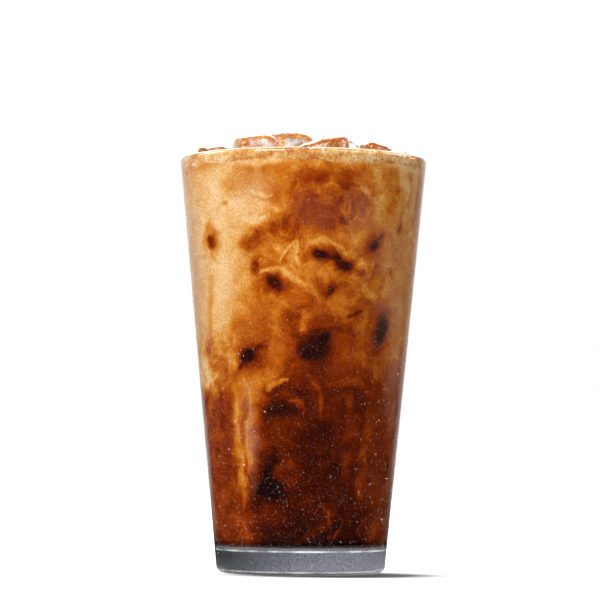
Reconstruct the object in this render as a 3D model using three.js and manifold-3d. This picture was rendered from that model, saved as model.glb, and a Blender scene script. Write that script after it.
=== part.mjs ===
// An iced coffee in a tapered pint glass, in millimetres.
//
// The glass stands on its foot ring, with the origin at the middle of its underside and +Z up.
// The drink fills the glass to just below the lip, and the ice is heaped through the surface of
// the drink to above the rim. Each piece of ice is a half melted, round-edged block of its own.

import * as THREE from "three";
import { mergeVertices } from "three/addons/utils/BufferGeometryUtils.js";
import Module from "manifold-3d";

const wasm = await Module();
wasm.setup();

// Driving dimensions of the glass: a standard 16 oz pint glass
const glassHeight = 149.2;
const rimRadius = 88.9 / 2;
const baseRadius = 60.3 / 2;
const rimWall = 2.8;
const lowWall = 4.6;
const baseThickness = 9.2;
const heelRadius = 2.6;
const floorFillet = 5;
const lipRadius = rimWall / 2;
const puntDepth = 1.1;
const puntRadius = 21;
const footRingRadius = 24;

// Driving dimensions of what is in the glass
const gap = 0.3;
const iceClearance = 0.52;
const drinkLevel = glassHeight - 3.6;
const meniscusRise = 1.1;
const meniscusReach = 2.5;
const rippleHeight = 0.35;

// How finely the round shapes are cut into faces
const roundSegments = 72;
const filletSteps = 4;
const topRings = 9;
const iceSteps = 5;

// The outer side is a straight cone between the heel and the lip, and the inner side is a
// steeper one, so that the wall thickens downwards.
const lipCentre = glassHeight - lipRadius;
const outerSlope = (rimRadius - baseRadius) / lipCentre;
const outerRadius = (z) => baseRadius + outerSlope * z;
const innerTop = outerRadius(lipCentre) - rimWall;
const innerLow = outerRadius(baseThickness) - lowWall;
const innerSlope = (innerTop - innerLow) / (lipCentre - baseThickness);
const innerRadius = (z) => innerLow + innerSlope * (z - baseThickness);

// Points of a round stretch of profile about a centre, both ends included.
function arc(centreR, centreZ, radius, from, to, steps) {
  const points = [];
  for (let i = 0; i <= steps; i++) {
    const angle = from + ((to - from) * i) / steps;
    points.push([centreR + radius * Math.cos(angle), centreZ + radius * Math.sin(angle)]);
  }
  return points;
}

// A closed body turned about +Z from its profile of [radius, height] points.
function turned(profile) {
  const points = profile.map(([r, z]) => new THREE.Vector2(Math.max(r, 0), z));
  return new THREE.LatheGeometry(points, roundSegments).rotateX(Math.PI / 2);
}

function named(name, geometry, material) {
  const mesh = new THREE.Mesh(geometry, material);
  mesh.name = name;
  return mesh;
}

// The solid of a closed geometry, for cutting.
function solidOf(geometry) {
  const bare = new THREE.BufferGeometry();
  bare.setAttribute("position", geometry.getAttribute("position").clone());
  bare.setIndex(geometry.getIndex());
  const merged = mergeVertices(bare, 1e-3);
  return new wasm.Manifold(
    new wasm.Mesh({
      numProp: 3,
      vertProperties: merged.attributes.position.array,
      triVerts: new Uint32Array(merged.index.array),
    }),
  );
}

function geometryOf(solid) {
  const mesh = solid.getMesh();
  const geometry = new THREE.BufferGeometry();
  geometry.setAttribute("position", new THREE.BufferAttribute(mesh.vertProperties, 3));
  geometry.setIndex(new THREE.BufferAttribute(mesh.triVerts, 1));
  geometry.computeVertexNormals();
  return geometry;
}

// The biggest of the bodies that a cut leaves, without the loose scraps.
function biggest(solid) {
  const bodies = solid.decompose();
  return bodies.reduce((best, body) => (body.volume() > best.volume() ? body : best));
}

// Glass: a foot ring round a shallow punt, a rounded heel, a straight side and a round lip
function glassGeometry() {
  const heelCentreR = outerRadius(heelRadius) - heelRadius;
  const lipCentreR = outerRadius(lipCentre) - lipRadius;
  const filletCentreZ = baseThickness + floorFillet;
  const filletCentreR = innerRadius(filletCentreZ) - floorFillet;
  return turned([
    [0, puntDepth],
    [puntRadius, puntDepth],
    [footRingRadius, 0],
    ...arc(heelCentreR, heelRadius, heelRadius, -Math.PI / 2, 0, filletSteps),
    ...arc(lipCentreR, lipCentre, lipRadius, 0, Math.PI, 2 * filletSteps),
    ...arc(filletCentreR, filletCentreZ, floorFillet, 0, -Math.PI / 2, filletSteps),
    [0, baseThickness],
  ]);
}

// Drink: the inside of the glass less a small gap, up to a surface that climbs at the wall and
// ripples gently between the pieces of ice
function surfaceHeight(x, y) {
  const fromWall = innerRadius(drinkLevel) - Math.hypot(x, y);
  const climb = meniscusRise * Math.exp(-Math.max(fromWall - gap, 0) / meniscusReach);
  const ripple = Math.sin(0.31 * x + 0.6) * Math.cos(0.27 * y - 0.4) + 0.5 * Math.sin(0.55 * (x - y));
  return drinkLevel + climb + rippleHeight * ripple;
}

function drinkGeometry() {
  const floor = baseThickness + gap;
  const edge = innerRadius(drinkLevel) - gap;
  const filletCentreZ = floor + floorFillet;
  const filletCentreR = innerRadius(filletCentreZ) - gap - floorFillet;
  const across = Array.from({ length: topRings }, (_, i) => 1 - (i + 1) / topRings);
  const geometry = turned([
    [0, floor],
    ...arc(filletCentreR, filletCentreZ, floorFillet, -Math.PI / 2, 0, filletSteps),
    [edge, drinkLevel],
    ...across.map((share) => [edge * share, drinkLevel]),
  ]);
  const position = geometry.getAttribute("position");
  for (let i = 0; i < position.count; i++) {
    if (position.getZ(i) > drinkLevel - gap / 2) {
      position.setZ(i, surfaceHeight(position.getX(i), position.getY(i)));
    }
  }
  return geometry;
}

// Ice: a block whose sides bulge between rounded edges, waved and hollowed by melting. The swell
// makes the same block a little larger, to cut its place in the drink.
const edgeSharpness = 6;

function melting(direction, seed) {
  const { x, y, z } = direction;
  return (
    1 +
    0.04 * Math.sin(3.1 * x + 1.7 * seed) +
    0.035 * Math.sin(4.3 * y + 2.1 * seed + x) +
    0.035 * Math.sin(5.2 * z + 0.9 * seed + 2 * x)
  );
}

function iceGeometry({ size, turn, at, seed }, swell = 0) {
  const geometry = new THREE.BoxGeometry(2, 2, 2, iceSteps, iceSteps, iceSteps);
  const position = geometry.getAttribute("position");
  const direction = new THREE.Vector3();
  const half = size.map((side) => side / 2);
  for (let i = 0; i < position.count; i++) {
    direction.fromBufferAttribute(position, i);
    direction.set(direction.x * half[0], direction.y * half[1], direction.z * half[2]).normalize();
    const sum = ["x", "y", "z"].reduce(
      (total, axis, k) => total + Math.abs(direction[axis] / half[k]) ** edgeSharpness,
      0,
    );
    const reach = sum ** (-1 / edgeSharpness) * melting(direction, seed) + swell;
    position.setXYZ(i, direction.x * reach, direction.y * reach, direction.z * reach);
  }
  const degrees = turn.map((angle) => THREE.MathUtils.degToRad(angle));
  geometry.applyMatrix4(new THREE.Matrix4().makeRotationFromEuler(new THREE.Euler(...degrees)));
  geometry.translate(...at);
  return geometry;
}

// The heap, front to back. at is a block's middle, size its sides and turn its tilt in degrees.
const iceBlocks = [
  { at: [-17.2, -20.6, 147.6], size: [15.5, 15.5, 16], turn: [3, -2, 12], seed: 1 },
  { at: [-2.5, -32, 141], size: [17, 10.5, 13], turn: [6, 4, -3], seed: 2 },
  { at: [6.8, -17.4, 147.2], size: [19, 15.5, 15], turn: [5, -9, -6], seed: 3 },
  { at: [-6.6, -0.8, 150.1], size: [15, 17, 17], turn: [3, 8, 20], seed: 4 },
  { at: [24.8, -15.8, 145.7], size: [9.5, 12.5, 15], turn: [5, 8, 16], seed: 5 },
  { at: [-35.9, 3, 147.2], size: [6.5, 13, 13], turn: [4, 12, -2], seed: 6 },
  { at: [-23.8, 11, 148], size: [15.5, 18, 15], turn: [8, 6, 24], seed: 7 },
  { at: [11.6, 5.4, 149.4], size: [16, 16, 16], turn: [24, 26, 12], seed: 8 },
  { at: [-6.8, 25.2, 147.2], size: [21, 19, 15], turn: [-12, -8, 10], seed: 9 },
  { at: [16.2, 28, 146.6], size: [17, 14, 14], turn: [8, 10, -24], seed: 10 },
  { at: [29.1, 9.8, 146.2], size: [11.5, 16.5, 14], turn: [-8, -10, -14], seed: 11 },
  { at: [34.3, -8, 145.2], size: [8, 14, 13], turn: [3, -8, -6], seed: 12 },
  { at: [-28.8, -10.4, 144.6], size: [12, 12, 14], turn: [-6, 5, 30], seed: 13 },
];

const clearGlass = new THREE.MeshStandardMaterial({
  color: 0xdfe6e8,
  roughness: 0.15,
  metalness: 0,
  transparent: true,
  opacity: 0.35,
});
const milkyCoffee = new THREE.MeshStandardMaterial({ color: 0x9a5a2c, roughness: 0.35, metalness: 0 });
const meltingIce = new THREE.MeshStandardMaterial({
  color: 0xe9eef0,
  roughness: 0.08,
  metalness: 0,
  transparent: true,
  opacity: 0.5,
});

const icedCoffee = new THREE.Group();
icedCoffee.add(named("glass", glassGeometry(), clearGlass));

let drink = solidOf(drinkGeometry());
iceBlocks.forEach((block, i) => {
  drink = drink.subtract(solidOf(iceGeometry(block, iceClearance)));
  icedCoffee.add(named(`ice_${i + 1}`, iceGeometry(block), meltingIce));
});
icedCoffee.add(named("drink", geometryOf(biggest(drink)), milkyCoffee));

export default icedCoffee;
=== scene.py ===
# An iced coffee in a pint glass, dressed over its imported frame. Sizes are in metres.

import itertools
import math

import bpy
import numpy as np
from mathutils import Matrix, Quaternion, Vector
from mathutils.bvhtree import BVHTree


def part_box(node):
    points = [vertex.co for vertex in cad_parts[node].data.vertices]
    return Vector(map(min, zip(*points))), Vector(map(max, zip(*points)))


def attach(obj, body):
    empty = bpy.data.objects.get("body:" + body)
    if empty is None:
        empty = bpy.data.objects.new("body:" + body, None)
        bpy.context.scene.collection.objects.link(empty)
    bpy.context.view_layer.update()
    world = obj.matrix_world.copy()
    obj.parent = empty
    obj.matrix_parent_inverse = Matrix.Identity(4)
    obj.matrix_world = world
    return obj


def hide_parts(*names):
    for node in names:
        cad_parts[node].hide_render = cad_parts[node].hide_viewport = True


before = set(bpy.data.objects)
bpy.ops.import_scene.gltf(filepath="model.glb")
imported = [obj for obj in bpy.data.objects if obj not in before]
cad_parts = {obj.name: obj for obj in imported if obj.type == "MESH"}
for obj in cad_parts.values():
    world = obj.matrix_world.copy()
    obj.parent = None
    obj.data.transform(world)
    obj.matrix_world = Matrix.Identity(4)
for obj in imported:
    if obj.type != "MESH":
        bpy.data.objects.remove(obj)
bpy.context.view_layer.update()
mm = 0.001


# The glass is a pint tumbler of clear soda-lime glass, pressed in one piece. It has a thick base
# with a foot ring and a rounded heel, straight sides that widen upwards, and a round polished lip.

glass_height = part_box("glass")[1].z
rim_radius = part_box("glass")[1].x
base_radius = 30.15 * mm
rim_wall = 2.8 * mm
low_wall = 4.6 * mm
base_thickness = 9.2 * mm
heel_radius = 2.6 * mm
floor_fillet = 5 * mm
punt_depth = 1.1 * mm
punt_radius = 21 * mm
foot_ring_radius = 24 * mm
lip_radius = rim_wall / 2
lip_centre = glass_height - lip_radius
outer_slope = (rim_radius - base_radius) / lip_centre


def outer_radius(height):
    return base_radius + outer_slope * height


inner_low = outer_radius(base_thickness) - low_wall
inner_slope = (outer_radius(lip_centre) - rim_wall - inner_low) / (lip_centre - base_thickness)


def inner_radius(height):
    return inner_low + inner_slope * (height - base_thickness)


def arc(centre_r, centre_z, radius, start, end, steps):
    """Points of a round stretch of outline, from one angle to the other in degrees."""
    angles = np.radians(np.linspace(start, end, steps + 1))
    return [(centre_r + radius * math.cos(a), centre_z + radius * math.sin(a)) for a in angles]


def mesh_object(name, vertices, faces, material):
    """A smooth mesh object of one material."""
    mesh = bpy.data.meshes.new(name)
    mesh.from_pydata([tuple(v) for v in vertices], [], [tuple(f) for f in faces])
    mesh.polygons.foreach_set("use_smooth", [True] * len(mesh.polygons))
    mesh.materials.append(material)
    piece = bpy.data.objects.new(name, mesh)
    bpy.context.scene.collection.objects.link(piece)
    return piece


def turned_faces(rings, turns, first, last):
    """Faces between rings of points round the axis, closed by a fan at each end."""
    faces = [[first, 1 + (i + 1) % turns, 1 + i] for i in range(turns)]
    for ring, i in itertools.product(range(rings - 1), range(turns)):
        low, high, following = 1 + ring * turns, 1 + (ring + 1) * turns, (i + 1) % turns
        faces.append([low + i, low + following, high + following, high + i])
    top = 1 + (rings - 1) * turns
    faces += [[top + i, top + (i + 1) % turns, last] for i in range(turns)]
    return faces


def turned_points(outline, turns):
    """Points of an outline of (radius, height) turned about the axis, ends on the axis."""
    angles = np.linspace(0, 2 * math.pi, turns, endpoint=False)
    ring = np.column_stack([np.cos(angles), np.sin(angles)])
    points = [np.array([[0, 0, outline[0][1]]])]
    for radius, height in outline[1:-1]:
        points.append(np.column_stack([ring * radius, np.full(turns, height)]))
    points.append(np.array([[0, 0, outline[-1][1]]]))
    return np.concatenate(points)


class Finish:
    """The nodes of a material, or of the studio's light, with short ways to add to them. An amount
    is a plain value or another node's output, and sizes are in metres."""

    def __init__(self, owner):
        owner.use_nodes = True
        self.owner = owner
        self.nodes = owner.node_tree.nodes
        self.links = owner.node_tree.links
        self.shader = self.nodes.get("Principled BSDF")
        self.output = self.nodes.get("Material Output") or self.nodes["World Output"]

    def feed(self, node, inputs):
        """Sets a node's inputs, by name or number, or links them to other nodes' outputs."""
        for name, value in inputs.items():
            socket = node.inputs[name]
            if isinstance(value, bpy.types.NodeSocket):
                self.links.new(value, socket)
            else:
                socket.default_value = (*value, 1) if socket.type == "RGBA" else value

    def add(self, kind, inputs=None, **settings):
        """A new node of that kind."""
        node = self.nodes.new("ShaderNode" + kind)
        for name, value in settings.items():
            setattr(node, name, value)
        self.feed(node, inputs or {})
        return node

    def give(self, name, value):
        """Sets or links an input of the main shader."""
        self.feed(self.shader, {name: value})

    def place(self):
        """Each point's place on the object."""
        return self.add("TexCoord").outputs["Object"]

    def axes(self, place):
        """The X, Y and Z of a place."""
        return self.add("SeparateXYZ", {"Vector": place}).outputs

    def noise(self, size, detail=3, roughness=0.5, distortion=0.0, place=None, result="Fac"):
        """A noise whose lumps are about size across."""
        inputs = {"Scale": 1 / size, "Detail": detail, "Roughness": roughness, "Distortion": distortion}
        return self.add("TexNoise", {"Vector": place or self.place(), **inputs}).outputs[result]

    def maths(self, operation, *values):
        """A sum, product or the like."""
        return self.add("Math", dict(enumerate(values)), operation=operation).outputs["Value"]

    def mix(self, amount, first, second, kind="MIX"):
        """Two colours mixed."""
        inputs = {0: amount, 6: first, 7: second}
        return self.add("Mix", inputs, data_type="RGBA", blend_type=kind).outputs[2]

    def span(self, source, low, high, to_low, to_high):
        """The source's stretch from low to high carried over to another stretch."""
        inputs = {"From Min": low, "From Max": high, "To Min": to_low, "To Max": to_high}
        return self.add("MapRange", {"Value": source, **inputs}).outputs["Result"]

    def relief(self, height, depth):
        """A relief of that depth on the main shader."""
        self.give("Normal", self.add("Bump", {"Height": height, "Distance": depth}).outputs["Normal"])

    def choose(self, ray, usual, chosen):
        """Shows one shader to rays of that kind, and the usual one to the rest."""
        is_that_ray = self.add("LightPath").outputs[ray]
        mix = self.add("MixShader", {"Fac": is_that_ray, 1: usual.outputs[0], 2: chosen.outputs[0]})
        self.feed(self.output, {"Surface": mix.outputs["Shader"]})

    def let_lamps_through(self, tint):
        """Lamps light what is behind the clear material, dimmed by its tint."""
        self.choose("Is Shadow Ray", self.shader, self.add("BsdfTransparent", {"Color": tint}))

    def specks(self, spacing, largest):
        """White specks of many sizes, one to each cell of that spacing."""
        cells = self.add("TexVoronoi", {"Vector": self.place(), "Scale": 1 / spacing})
        pick = self.add("SeparateColor", {"Color": cells.outputs["Color"]})
        size = self.span(pick.outputs["Red"], 0, 1, 0, largest / spacing)
        near = self.maths("SUBTRACT", size, cells.outputs["Distance"])
        return self.span(near, 0, 0.12, 0, 1)


def glass_material():
    """Clear glass under a film of dew, which shows as a fine fog with brighter specks; the specks are
    painted highlights for glints of dew. Its thick base is painted grey for the grey it reflects, darker
    towards the left as painted shade, and painted highlights make a line round its foot and another under
    the drink."""
    finish = Finish(bpy.data.materials.new("misted_glass"))
    across, _, up = finish.axes(finish.place())
    height = finish.maths("MULTIPLY_ADD", finish.noise(1.5 * mm), 1 * mm, up)
    base = finish.span(height, base_thickness, base_thickness + 1.2 * mm, 1, 0)
    # The base is painted a mottled grey: a painted reflection of the grey round it.
    mottled = finish.span(finish.noise(0.5 * mm, roughness=0.7), 0.35, 0.65, 0, 1)
    grey = finish.mix(mottled, (0.1, 0.105, 0.135), (0.58, 0.6, 0.7))
    # Painted shade: the base's grey grows darker towards the left.
    painted_shade = finish.span(across, -28 * mm, 22 * mm, 0.09, 1.06)
    grey = finish.mix(1, grey, painted_shade, "MULTIPLY")
    # Painted highlights: pale lines round the foot and just under the drink.
    lines = []
    for level, half in ((8.4 * mm, 0.42 * mm), (1.1 * mm, 0.36 * mm)):
        off = finish.maths("ABSOLUTE", finish.maths("SUBTRACT", up, level))
        lines.append(finish.span(off, half * 0.4, half, 1, 0))
    uneven = finish.span(finish.noise(9 * mm), 0.35, 0.65, 0.3, 1)
    painted_glint = finish.maths("MULTIPLY", finish.maths("MAXIMUM", *lines), uneven)
    grey = finish.mix(painted_glint, grey, (0.9, 0.9, 0.94))
    finish.give("Base Color", finish.mix(base, (0.96, 0.965, 0.97), grey))
    # White specks of dew: painted highlights for glints too fine to model.
    specks = finish.maths("MAXIMUM", finish.specks(0.7 * mm, 0.19 * mm), finish.specks(2.6 * mm, 0.3 * mm))
    film = finish.span(finish.noise(0.45 * mm, detail=2), 0.6, 0.75, 0, 0.01)
    milky = finish.maths("MULTIPLY_ADD", specks, 0.02, film)
    milky = finish.maths("MULTIPLY_ADD", base, 0.3, milky)
    milky = finish.maths("MULTIPLY_ADD", painted_glint, 0.5, milky)
    clear = finish.maths("SUBTRACT", 1, milky)
    clear.node.use_clamp = True
    finish.give("Transmission Weight", clear)
    finish.give("IOR", 1.5)
    misted = finish.span(finish.noise(9 * mm, detail=4), 0.3, 0.7, 0.03, 0.08)
    finish.give("Roughness", finish.maths("MULTIPLY_ADD", base, 0.22, misted))
    grains = finish.maths("MULTIPLY", finish.noise(0.6 * mm, detail=2), finish.span(base, 0, 1, 1, 0.15))
    finish.relief(grains, 0.02 * mm)
    finish.let_lamps_through((0.93, 0.94, 0.94))
    return finish.owner


def glass_outline():
    heel_r = outer_radius(heel_radius) - heel_radius
    lip_r = outer_radius(lip_centre) - lip_radius
    fillet_z = base_thickness + floor_fillet
    fillet_r = inner_radius(fillet_z) - floor_fillet
    return [
        (0, punt_depth),
        (punt_radius * 0.6, punt_depth),
        (punt_radius, punt_depth),
        (foot_ring_radius, 0),
        *arc(heel_r, heel_radius, heel_radius, -90, 0, 12),
        *[(outer_radius(z), z) for z in np.linspace(heel_radius, lip_centre, 24)[1:-1]],
        *arc(lip_r, lip_centre, lip_radius, 0, 180, 18),
        *[(inner_radius(z), z) for z in np.linspace(lip_centre, fillet_z, 24)[1:-1]],
        *arc(fillet_r, fillet_z, floor_fillet, 0, -90, 12),
        (fillet_r * 0.5, base_thickness),
        (0, base_thickness),
    ]


glass_turns = 256
outline = glass_outline()
glass_faces = turned_faces(len(outline) - 2, glass_turns, 0, 1 + (len(outline) - 2) * glass_turns)
pint_glass = mesh_object("pint_glass", turned_points(outline, glass_turns), glass_faces, glass_material())
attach(pint_glass, "root")
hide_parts("glass")


# The dew is water that the cold glass draws from the air. It stands on the outside in thousands of
# tiny beads, closest together on the sides and thinner on the base.

lowest_dew = 3.5 * mm
full_dew_height = 20 * mm


def bead_points(sides, rings):
    """A bead of radius 1 that stands on z = 0, as points and faces."""
    edge_slope = math.radians(74)
    points = [(0, 0, 0.72)]
    for ring in range(1, rings + 1):
        slope = edge_slope * ring / rings
        height = (math.cos(slope) - math.cos(edge_slope)) * 0.99
        turn = [2 * math.pi * (i + ring / 2) / sides for i in range(sides)]
        points += [(math.sin(slope) * math.cos(a), math.sin(slope) * math.sin(a), height) for a in turn]
    points.append((0, 0, -0.12))
    faces = [(0, 1 + i, 1 + (i + 1) % sides) for i in range(sides)]
    for ring, i in itertools.product(range(rings - 1), range(sides)):
        inner, outer, following = 1 + ring * sides, 1 + (ring + 1) * sides, (i + 1) % sides
        faces.append((inner + i, outer + i, inner + following))
        faces.append((inner + following, outer + i, outer + following))
    edge = 1 + (rings - 1) * sides
    faces += [(edge + (i + 1) % sides, edge + i, len(points) - 1) for i in range(sides)]
    return np.array(points), np.array(faces)


def scattered_beads(name, shape, places, outward, sizes, material):
    """One mesh of many beads, each standing on its place and pointing outward."""
    points, faces = shape
    side = np.cross(outward, [0.3, 0.5, 1])
    side /= np.linalg.norm(side, axis=1)[:, None]
    upward = np.cross(side, outward)
    local = points[None, :, :] * sizes[:, None, None]
    placed = (
        places[:, None, :]
        + local[:, :, :1] * side[:, None, :]
        + local[:, :, 1:2] * upward[:, None, :]
        + local[:, :, 2:] * outward[:, None, :]
    )
    shifted = faces[None, :, :] + (np.arange(len(places)) * len(points))[:, None, None]
    return mesh_object(name, placed.reshape(-1, 3), shifted.reshape(-1, 3).tolist(), material)


def bead_material():
    """Water that is a little milky, because each bead gathers the light round the glass."""
    finish = Finish(bpy.data.materials.new("dew"))
    cloudy = finish.noise(2 * mm)
    finish.give("Base Color", finish.mix(cloudy, (0.9, 0.87, 0.84), (1, 0.99, 0.98)))
    finish.give("Transmission Weight", 0.94)
    finish.give("Roughness", finish.span(cloudy, 0.3, 0.7, 0.04, 0.14))
    finish.give("IOR", 1.33)
    finish.let_lamps_through((0.97, 0.97, 0.97))
    return finish.owner


dew_random = np.random.default_rng(11)
water = bead_material()


def dew(name, count, smallest, largest, shape):
    """Beads of dew of one kind on the outer wall of the glass."""
    height = dew_random.uniform(lowest_dew, lip_centre - 1 * mm, count)
    thinner = dew_random.random(count) < 0.35 + 0.65 * np.clip(height / full_dew_height, 0, 1)
    height = height[thinner]
    angle = dew_random.uniform(0, 2 * math.pi, len(height))
    outward = np.column_stack([np.cos(angle), np.sin(angle), np.full(len(height), -outer_slope)])
    outward /= np.linalg.norm(outward, axis=1)[:, None]
    radius = outer_radius(height)
    places = np.column_stack([radius * np.cos(angle), radius * np.sin(angle), height])
    sizes = smallest + (largest - smallest) * dew_random.random(len(height)) ** 3
    piece = scattered_beads(name, shape, places, outward, sizes, water)
    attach(piece, "root")


dew("dew_mist", 16000, 0.06 * mm, 0.12 * mm, bead_points(6, 1))
dew("fine_dew", 14000, 0.1 * mm, 0.19 * mm, bead_points(6, 1))
dew("dew_drops", 1100, 0.16 * mm, 0.34 * mm, bead_points(10, 2))


# The ice is bagged cubes, half melted: each has lost its corners and its faces are washed into low
# waves. Coffee has soaked into their skins, so that some are clear and others amber.

amber_blocks = (3, 5, 6, 8, 11, 12)
ice_mesh_size = 0.42 * mm
wave_depth = 0.45 * mm
wave_length = 7 * mm


def ice_material(name, cloudiness, skin, depth_tint, edge_stain):
    """Wet ice with a cloudy heart. Coffee stains its worn edges, and patches of its skin."""
    finish = Finish(bpy.data.materials.new(name))
    cloudy = finish.noise(4 * mm, detail=5, roughness=0.65)
    finish.give("Transmission Weight", finish.span(cloudy, 0.45, 0.68, 1, 1 - cloudiness))
    patches = finish.noise(7 * mm, detail=5, roughness=0.6, distortion=1.5)
    tint = finish.mix(finish.span(patches, 0.4, 0.6, 0, 1), depth_tint, skin)
    wear = finish.add("Attribute", attribute_name="wear").outputs["Fac"]
    soaked = finish.noise(4 * mm, detail=4, roughness=0.6, distortion=2)
    soaked = finish.span(finish.maths("MULTIPLY_ADD", soaked, 0.9, wear), 0.56, 0.66, 0, 1)
    finish.give("Base Color", finish.mix(soaked, tint, edge_stain))
    finish.give("Roughness", finish.span(finish.noise(3 * mm, detail=5), 0.4, 0.75, 0.02, 0.18))
    finish.give("IOR", 1.31)
    finish.relief(finish.noise(2.2 * mm), 0.25 * mm)
    finish.let_lamps_through((0.92, 0.88, 0.82))
    return finish.owner


clear_ice = ice_material("clear_ice", 0.5, (0.78, 0.79, 0.83), (0.78, 0.75, 0.74), (0.6, 0.3, 0.07))
amber_ice = ice_material("amber_ice", 0.25, (0.8, 0.64, 0.4), (0.72, 0.46, 0.18), (0.52, 0.22, 0.03))


def lattice_noise(points, seed):
    """Smooth random values from -1 to 1, one for each point, about one lump to a unit. Each corner
    of the unit cells has its own value, mixed from its numbers and the seed."""
    cell = np.floor(points).astype(np.int64)
    part = points - cell
    ease = part * part * (3 - 2 * part)
    total = np.zeros(len(points))
    for corner in itertools.product((0, 1), repeat=3):
        at = cell + corner
        mixed = (at[:, 0] * 73856093) ^ (at[:, 1] * 19349663) ^ (at[:, 2] * 83492791) ^ (seed * 7919)
        mixed = ((mixed ^ (mixed >> 13)) * 1274126177) & 0x7FFFFFFF
        value = ((mixed ^ (mixed >> 15)) & 0xFFFF) / 32767.5 - 1
        weight = np.prod(np.where(corner, ease, 1 - ease), axis=1)
        total += weight * value
    return total


def swirl_noise(points, size, octaves, seed):
    """Lattice noise in several sizes, each half as big as the last."""
    total = np.zeros(len(points))
    for octave in range(octaves):
        total += lattice_noise(points / size * 2**octave, seed + 17 * octave) * 0.5**octave
    return total


def blend(low, high, value):
    """A soft step from 0 to 1 as value goes from low to high."""
    share = np.clip((value - low) / (high - low), 0, 1)
    return share * share * (3 - 2 * share)


def vertex_values(mesh, kind="co"):
    """The places of a mesh's points, or their normals."""
    values = np.empty(len(mesh.vertices) * 3)
    mesh.vertices.foreach_get(kind, values)
    return values.reshape(-1, 3)


def edge_wear(mesh):
    """How sharply the block turns at each point, from 0 on its faces to 1 on its edges."""
    ends = np.empty(len(mesh.edges) * 2, np.int32)
    mesh.edges.foreach_get("vertices", ends)
    first, second = ends.reshape(-1, 2).T
    places = vertex_values(mesh)
    worn = places.copy()
    count = len(places)
    neighbours = np.bincount(ends, minlength=count)
    for _ in range(24):
        sums = [np.bincount(first, worn[second, k], count) + np.bincount(second, worn[first, k], count)
                for k in range(3)]
        worn = np.column_stack(sums) / neighbours[:, None]
    return blend(0.1 * mm, 0.55 * mm, np.linalg.norm(places - worn, axis=1))


def melted_block(name, node, material, seed):
    """A finer copy of the solid, with its faces washed by melting."""
    block = bpy.data.objects.new(name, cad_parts[node].data.copy())
    bpy.context.scene.collection.objects.link(block)
    weld = block.modifiers.new("weld", "WELD")
    weld.merge_threshold = 0.02 * mm
    remesh = block.modifiers.new("remesh", "REMESH")
    remesh.mode = "VOXEL"
    remesh.voxel_size = ice_mesh_size
    soften = block.modifiers.new("soften", "SMOOTH")
    soften.iterations = 12
    depsgraph = bpy.context.evaluated_depsgraph_get()
    mesh = bpy.data.meshes.new_from_object(block.evaluated_get(depsgraph))
    block.modifiers.clear()
    places = vertex_values(mesh)
    washed = wave_depth * swirl_noise(places, wave_length, 2, seed) - 0.1 * mm
    mesh.vertices.foreach_set("co", (places + vertex_values(mesh, "normal") * washed[:, None]).ravel())
    mesh.polygons.foreach_set("use_smooth", [True] * len(mesh.polygons))
    wear = mesh.attributes.new("wear", "FLOAT", "POINT")
    wear.data.foreach_set("value", edge_wear(mesh))
    mesh.materials.clear()
    mesh.materials.append(material)
    block.data = mesh
    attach(block, "root")
    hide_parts(node)
    return block


ice_count = sum(name.startswith("ice_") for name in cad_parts)
ice_blocks = []
for number in range(1, ice_count + 1):
    material = amber_ice if number in amber_blocks else clear_ice
    ice_blocks.append(melted_block(f"ice_block_{number}", f"ice_{number}", material, number))


# Air is trapped in the heart of each block, in fine bubbles that the freezing water pushed inward.
# They look white, because light can't pass straight through so many.

bubbles_in_a_block = 80


def trapped_air():
    """White that lets some light by, for bubbles too fine to look into."""
    finish = Finish(bpy.data.materials.new("trapped_air"))
    shade = finish.noise(2 * mm)
    finish.give("Base Color", finish.mix(shade, (0.9, 0.88, 0.86), (0.98, 0.98, 0.99)))
    finish.give("Transmission Weight", 0.4)
    finish.give("Roughness", finish.span(shade, 0.3, 0.7, 0.1, 0.3))
    finish.give("IOR", 1.2)
    finish.let_lamps_through((0.95, 0.95, 0.95))
    return finish.owner


air_random = np.random.default_rng(5)
air_places = []
for block in ice_blocks:
    places = vertex_values(block.data)
    spread = (places.max(0) - places.min(0)) * (0.13, 0.13, 0.17)
    heart = (places.max(0) + places.min(0)) / 2 + (0, 0, 1 * mm)
    air_places.append(heart + air_random.normal(0, 1, (bubbles_in_a_block, 3)).clip(-2, 2) * spread)
air_places = np.concatenate(air_places)
air_sizes = (0.07 + 0.25 * air_random.random(len(air_places)) ** 4) * mm
upward = np.tile([0.0, 0.0, 1.0], (len(air_places), 1))
air_bubble = bead_points(7, 2)
ice_bubbles = scattered_beads("ice_bubbles", air_bubble, air_places, upward, air_sizes, trapped_air())
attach(ice_bubbles, "root")


# The coffee fills the glass to just under its lip. Milk was poured in last, so it hangs in clouds
# and sinks in plumes through the dark coffee, which shows nearly black where ice lies at the wall.

drink_level = glass_height - 3.6 * mm
meniscus_rise = 1.1 * mm
meniscus_reach = 2.5 * mm
ripple_height = 0.35 * mm
wall_reach = 0.12 * mm
drink_turns = 400
side_rings = 200
top_rings = 36
floor_rings = 8
back_rise = 9

# How much milk is in the coffee, from none at 0 to nothing but milk at 1.
dark_coffee, red_brown, orange, caramel, cream = 0.14, 0.28, 0.53, 0.68, 0.84

# What each side of the glass shows from the bottom up, before the clouds and plumes: heights in
# millimetres with the milk at each.
left_side = [(8, dark_coffee), (13, red_brown), (20, 0.34), (62, 0.31), (66.5, 0.48), (69, 0.66),
             (84, 0.76), (98, cream), (128, 0.86), (142, 0.82), (145, caramel), (147, cream)]
middle = [(8, 0.03), (12, 0.05), (18, 0.08), (30, 0.15), (50, 0.19), (60, 0.18), (68, 0.22),
          (76, 0.4), (84, 0.46), (92, 0.48), (106, orange), (118, 0.52), (124, 0.44), (138, 0.4),
          (143, 0.54), (146, 0.78)]
right_side = [(8, 0.12), (14, 0.27), (40, 0.31), (68, 0.35), (76, 0.46), (82, 0.58), (108, 0.64),
              (134, 0.66), (141, 0.72), (146, 0.78)]

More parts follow.
